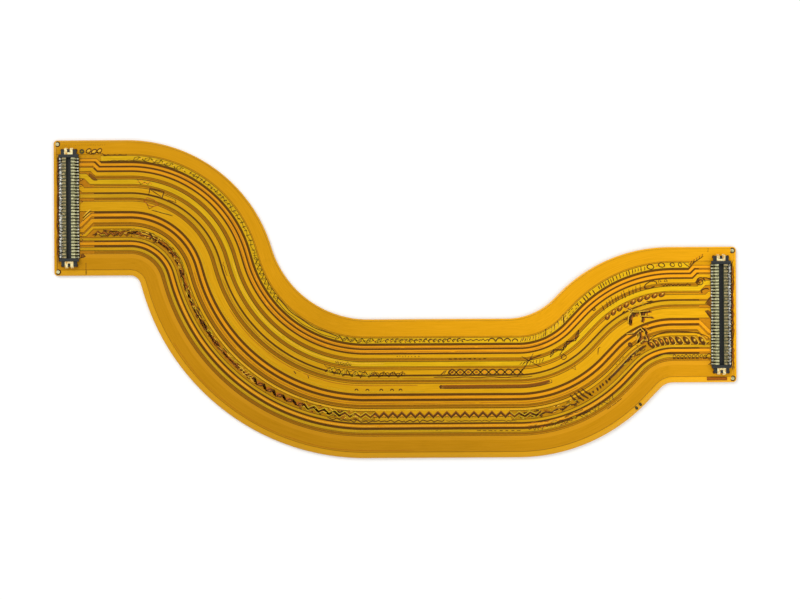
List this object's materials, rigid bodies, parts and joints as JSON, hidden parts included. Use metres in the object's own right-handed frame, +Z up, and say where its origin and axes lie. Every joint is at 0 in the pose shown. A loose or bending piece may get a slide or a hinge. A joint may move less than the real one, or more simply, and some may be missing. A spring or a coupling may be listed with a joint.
{
  "type": "flat flex cable",
  "caption": "Flat amber flex circuit cut in an S, with parallel copper lanes and a low board-to-board plug at each end.",
  "frame": {"origin": "middle of the outline, on the face that the stiffeners rest on", "axes": "+X along the cable from the higher to the lower end, +Y across it, +Z up from the resting face to the side with the plugs"},
  "size_m": [0.0886, 0.0414, 0.0011],
  "materials": {
    "amber_film": "glossy amber film",
    "stiffener_board": "dull amber board",
    "coated_copper": "copper under amber film",
    "tinned_pads": "tinned, satin",
    "plated_contacts": "plated, bright",
    "gold_plating": "gold plated, bright",
    "black_moulding": "moulded, satin"
  },
  "bodies": {
    "root": {"corner_dots": "gold_plating", "flex_base_film": "amber_film", "left_hold_downs": "gold_plating", "left_housing": "black_moulding", "left_inner_contacts": "plated_contacts", "left_outer_contacts": "plated_contacts", "left_stiffener": "stiffener_board", "locating_mark": "tinned_pads", "lower_ground_band": "coated_copper", "right_hold_downs": "gold_plating", "right_housing": "black_moulding", "right_inner_contacts": "plated_contacts", "right_outer_contacts": "plated_contacts", "right_stiffener": "stiffener_board", "test_pads": "gold_plating", "trace_01": "coated_copper", "trace_02": "coated_copper", "trace_03": "coated_copper", "trace_04": "coated_copper", "trace_05": "coated_copper", "trace_06": "coated_copper", "trace_07": "coated_copper", "trace_08": "coated_copper", "trace_09": "coated_copper", "trace_10": "coated_copper", "trace_11": "coated_copper", "trace_12": "coated_copper", "trace_13": "coated_copper", "upper_ground_band": "coated_copper", "via_strip": "coated_copper"}
  },
  "joints": []
}
